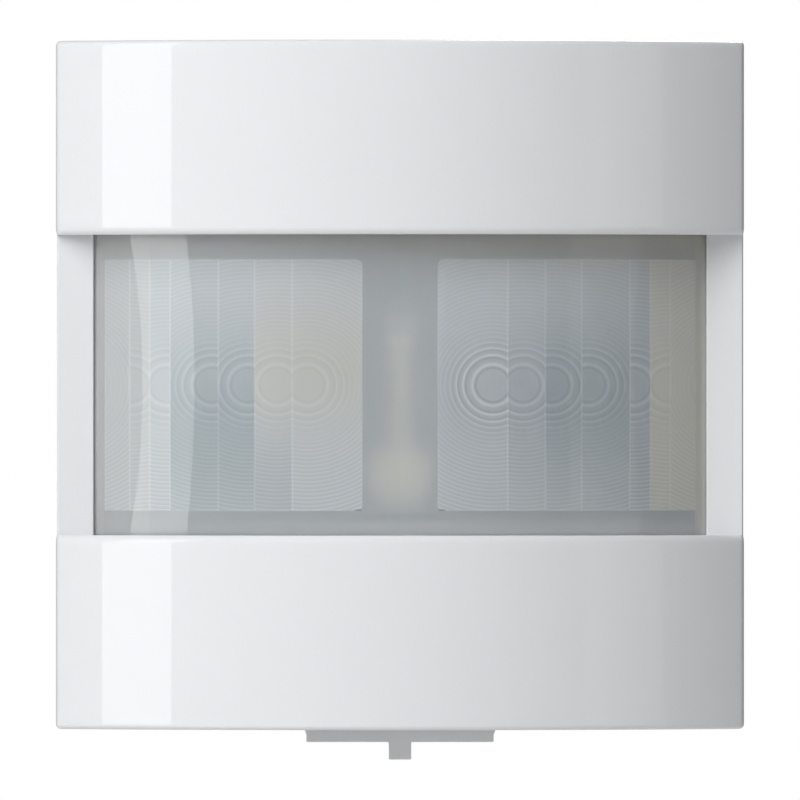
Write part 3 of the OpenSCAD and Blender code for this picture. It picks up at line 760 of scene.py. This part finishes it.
def lensBack(v, columns, rowsZ):
    # the lens's back as one sheet of triangles in (x, z) that keeps every line, and the depth at each point
    lines = lensLines(v, columns, rowsZ)
    counts = [len(points) for points, depth in lines]
    starts = np.cumsum([0] + counts[:-1])
    cut = np.repeat([depth for points, depth in lines], counts)
    edges = [(a + i, a + i + 1) for a, n in zip(starts.tolist(), counts) for i in range(n - 1)]
    flat = [Vector(p) for points, depth in lines for p in points.tolist()]
    out, _, faces, origin, _, _ = delaunay_2d_cdt(flat, edges, [], 0, 1e-5)
    depth = np.array([max((cut[i] for i in ids), default=0.0) for ids in origin])
    return np.array([tuple(p) for p in out]), depth, faces


def bow(x, z, v):
    # -bow * (1 - (z / h)^2) * (1 - s^2) * smooth(t) - swell * (1 - u^2)^2; s runs over the outer part,
    # t over the inner part and u across the swell
    s = np.clip((np.abs(x) - v["bowFrom"]) / (lensHigh[0] - v["bowFrom"]), 0, 1)
    t = np.clip(np.abs(x) / v["bowFrom"], 0, 1)
    u = np.clip((np.abs(x) - v["swellAt"]) / v["swellHalf"], -1, 1)
    bowed = v["bow"] * (1 - (z / lensHigh[2]) ** 2) * (1 - s ** 2) * t * t * (3 - 2 * t)
    return -bowed - v["swell"] * (1 - u ** 2) ** 2


def lensSheet(x, z, radius, v):
    # points (x, y, z) with y = centre - sqrt(r^2 - x^2) + bow
    return np.column_stack([x, onArc(x, radius) + bow(x, z, v), z])


def buildLens(v):
    # a plain front, a grooved back whose radius grows by the grooves' depth, and a strip round the edge
    endX, endZ = lensHigh[0], lensHigh[2]
    columns = np.linspace(-endX, endX, v["columns"])
    rowsZ = np.linspace(-endZ, endZ, v["rows"])
    backR = lensR - v["thick"]
    xz, depth, faces = lensBack(v, columns, rowsZ)
    back = lensSheet(*xz.T, backR + depth, v)
    front = lensSheet(*(k.ravel() for k in np.meshgrid(columns, rowsZ)), lensR, v)
    rim = np.concatenate([
        np.column_stack([columns, columns * 0 - endZ]), np.column_stack([rowsZ * 0 + endX, rowsZ])[1:],
        np.column_stack([columns[::-1], columns * 0 + endZ])[1:],
        np.column_stack([rowsZ * 0 - endX, rowsZ[::-1]])[1:],
    ])
    ring = [lensSheet(*rim.T, r, v) for r in (lensR, backR)]
    quads = gridFaces(len(rowsZ), len(columns), len(back))
    wall = gridFaces(2, len(rim), len(back) + len(front))
    points = np.concatenate([back, front, *ring])
    mesh = makeMesh("fresnel_lens_ringed", points, [list(f) for f in faces] + quads + wall, 2e-4)
    piece = addPiece("lens_ringed", mesh, milkyLens(), "fresnel_lens", "housing")
    softShade(piece, 20.0)
    return piece


lensPiece = buildLens(facets)
print("stage: lens built,", len(lensPiece.data.polygons), "faces")


sliderShape = {
    "tongue": 0.9, "plate": 7.5, "drop": 1.1,            # half widths, and how far the plate stands out
    "flare": 0.12, "flareFrom": 0.5, "flareRise": 0.3,   # the plate widens where it enters the cover
    "head": 8.5, "headLow": -25.64,                      # the wider head inside
    "edge": 0.1, "segments": 3,
}


def buildSlider(v):
    # one outline in x and z, drawn through the slider's thickness
    low, high = boxOf("lock_slider")
    plateLow, flareLow = -half - v["drop"], -half - v["flareFrom"]
    wide = v["plate"] + v["flare"]
    right = np.array([
        (v["tongue"], low[2]), (v["tongue"], plateLow), (v["plate"], plateLow), (v["plate"], flareLow),
        (wide, flareLow + v["flareRise"]), (wide, v["headLow"]),
        (v["head"], v["headLow"]), (v["head"], high[2]),
    ])
    outline = np.concatenate([right, right[::-1] * (-1, 1)])
    n = len(outline)
    points = np.concatenate([np.insert(outline, 1, y, axis=1) for y in (low[1], high[1])])
    walls = [(i, (i + 1) % n, n + (i + 1) % n, n + i) for i in range(n)]
    mesh = makeMesh("slider_plate", points, walls + [list(range(n)), list(range(n, 2 * n))])
    piece = addPiece("slider_plate", mesh, finishes["slider_grey"], "lock_slider", "slider")
    rounding = piece.modifiers.new("edges", "BEVEL")
    rounding.width = v["edge"] * mm
    rounding.segments = v["segments"]
    softShade(piece, 30.0)
    return piece


buildSlider(sliderShape)
print("stage: slider built")


trim = {"edge": 0.14, "share": 0.08, "segments": 2, "angle": 40, "weld": 0.001}


def dressNodes(v):
    # each remaining node gets its finish, its loose triangles welded, a small round on its sharp edges, and
    # normals weighted by face area, so that flats stay flat and round walls look round
    slots = {part["node"]: part["material_slot"] for part in frame["record"]["subparts"]}
    replaced = ("front_cover", "fresnel_lens", "lock_slider")
    for name, piece in nodes.items():
        if name in replaced:
            continue
        piece.data.materials.clear()
        piece.data.materials.append(finishes[slots[name]])
        piece.data.polygons.foreach_set("use_smooth", np.ones(len(piece.data.polygons), bool))
        weld = piece.modifiers.new("weld", "WELD")
        weld.merge_threshold = v["weld"] * mm
        low, high = boxOf(name)
        rounding = piece.modifiers.new("edges", "BEVEL")
        rounding.width = min(v["edge"], min(high - low) * v["share"]) * mm
        rounding.segments = v["segments"]
        rounding.limit_method = "ANGLE"
        rounding.angle_limit = math.radians(v["angle"])
        even = piece.modifiers.new("even normals", "WEIGHTED_NORMAL")
        even.weight = 100


dressNodes(trim)
print("stage: frame's pieces dressed")


ground = {"z": -110.0, "size": 1000.0, "tone": (0.68, 0.68, 0.68), "roughness": 0.7}


def buildFloor(v):
    # one square face, level, below the object
    s, z = v["size"] / 2, v["z"]
    corners = [(x * mm, y * mm, z * mm) for x, y in ((-s, -s), (s, -s), (s, s), (-s, s))]
    mesh = bpy.data.meshes.new("floor")
    mesh.from_pydata(corners, [], [(0, 1, 2, 3)])
    p = Paint(bpy.data.materials.new("floor pale"))
    mesh.materials.append(p.finish(p.shader(Base_Color=v["tone"], Roughness=v["roughness"])))
    floor = bpy.data.objects.new("floor", mesh)
    bpy.context.collection.objects.link(floor)


buildFloor(ground)
print("stage: floor made")
